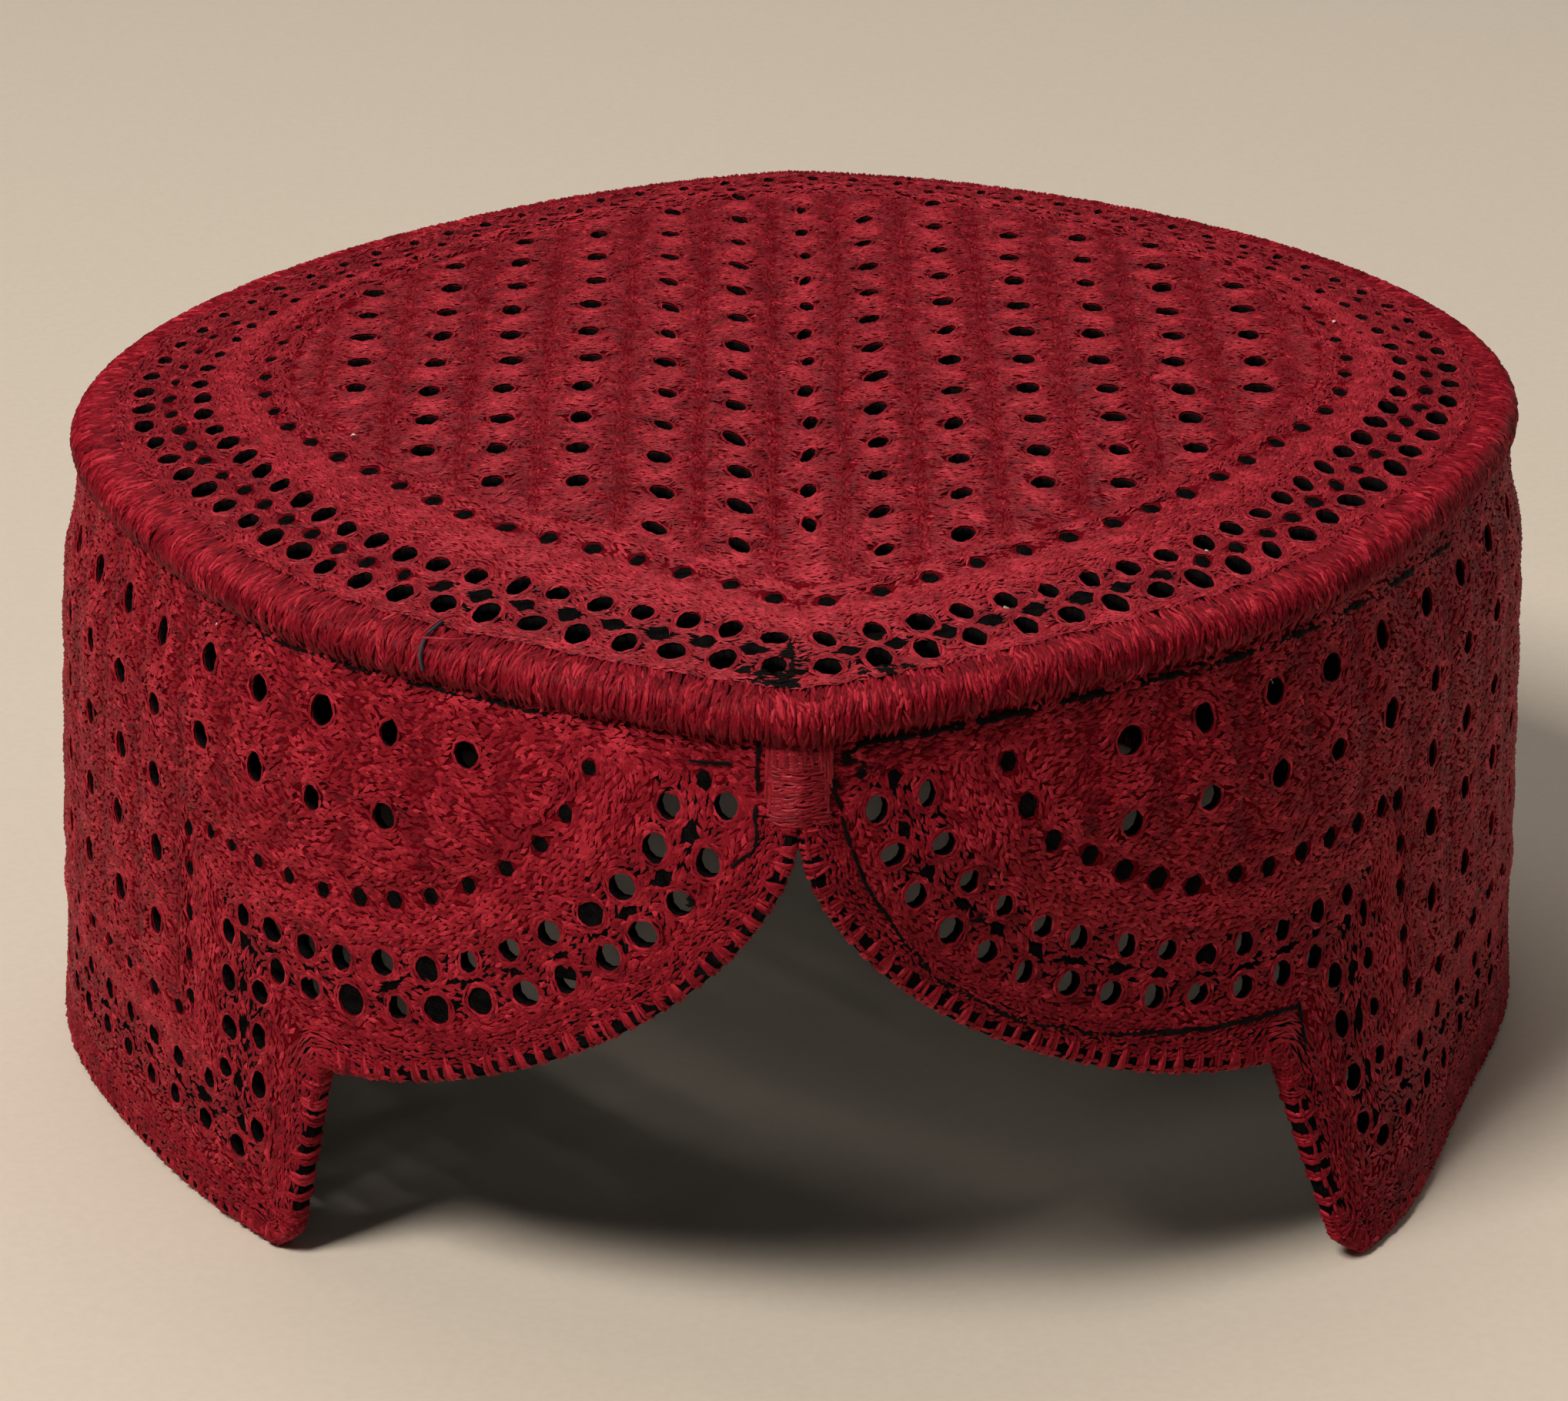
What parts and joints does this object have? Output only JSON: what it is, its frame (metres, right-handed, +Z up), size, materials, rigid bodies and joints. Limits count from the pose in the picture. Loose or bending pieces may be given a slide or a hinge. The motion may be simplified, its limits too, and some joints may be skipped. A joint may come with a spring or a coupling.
{
  "type": "embroidered cap",
  "caption": "Stiff cloth cap with an almond-shaped crown, an overcast rim, and an upright wall with two scalloped front lobes above an open arch, pierced all over with worked eyelets.",
  "frame": {"origin": "on the surface that the cap stands on, at the middle of its lower outline", "axes": "+Z up towards the crown; -Y towards the notched front; +X to the right of someone who faces the front"},
  "size_m": [0.1879, 0.1988, 0.0843],
  "materials": {
    "crown": "dull satin thread, closely stitched, pierced with eyelets",
    "rim_cord": "overcast satin thread",
    "wall_left": "dull satin thread, closely stitched, pierced with eyelets",
    "wall_right": "dull satin thread, closely stitched, pierced with eyelets",
    "edge_left": "black cloth edge under red blanket stitches",
    "edge_right": "black cloth edge under red blanket stitches",
    "front_bar": "satin-stitched bar"
  },
  "bodies": {
    "root": {"crown": "crown", "rim_cord": "rim_cord", "wall_left": "wall_left", "wall_right": "wall_right", "edge_left": "edge_left", "edge_right": "edge_right", "front_bar": "front_bar"}
  },
  "joints": []
}
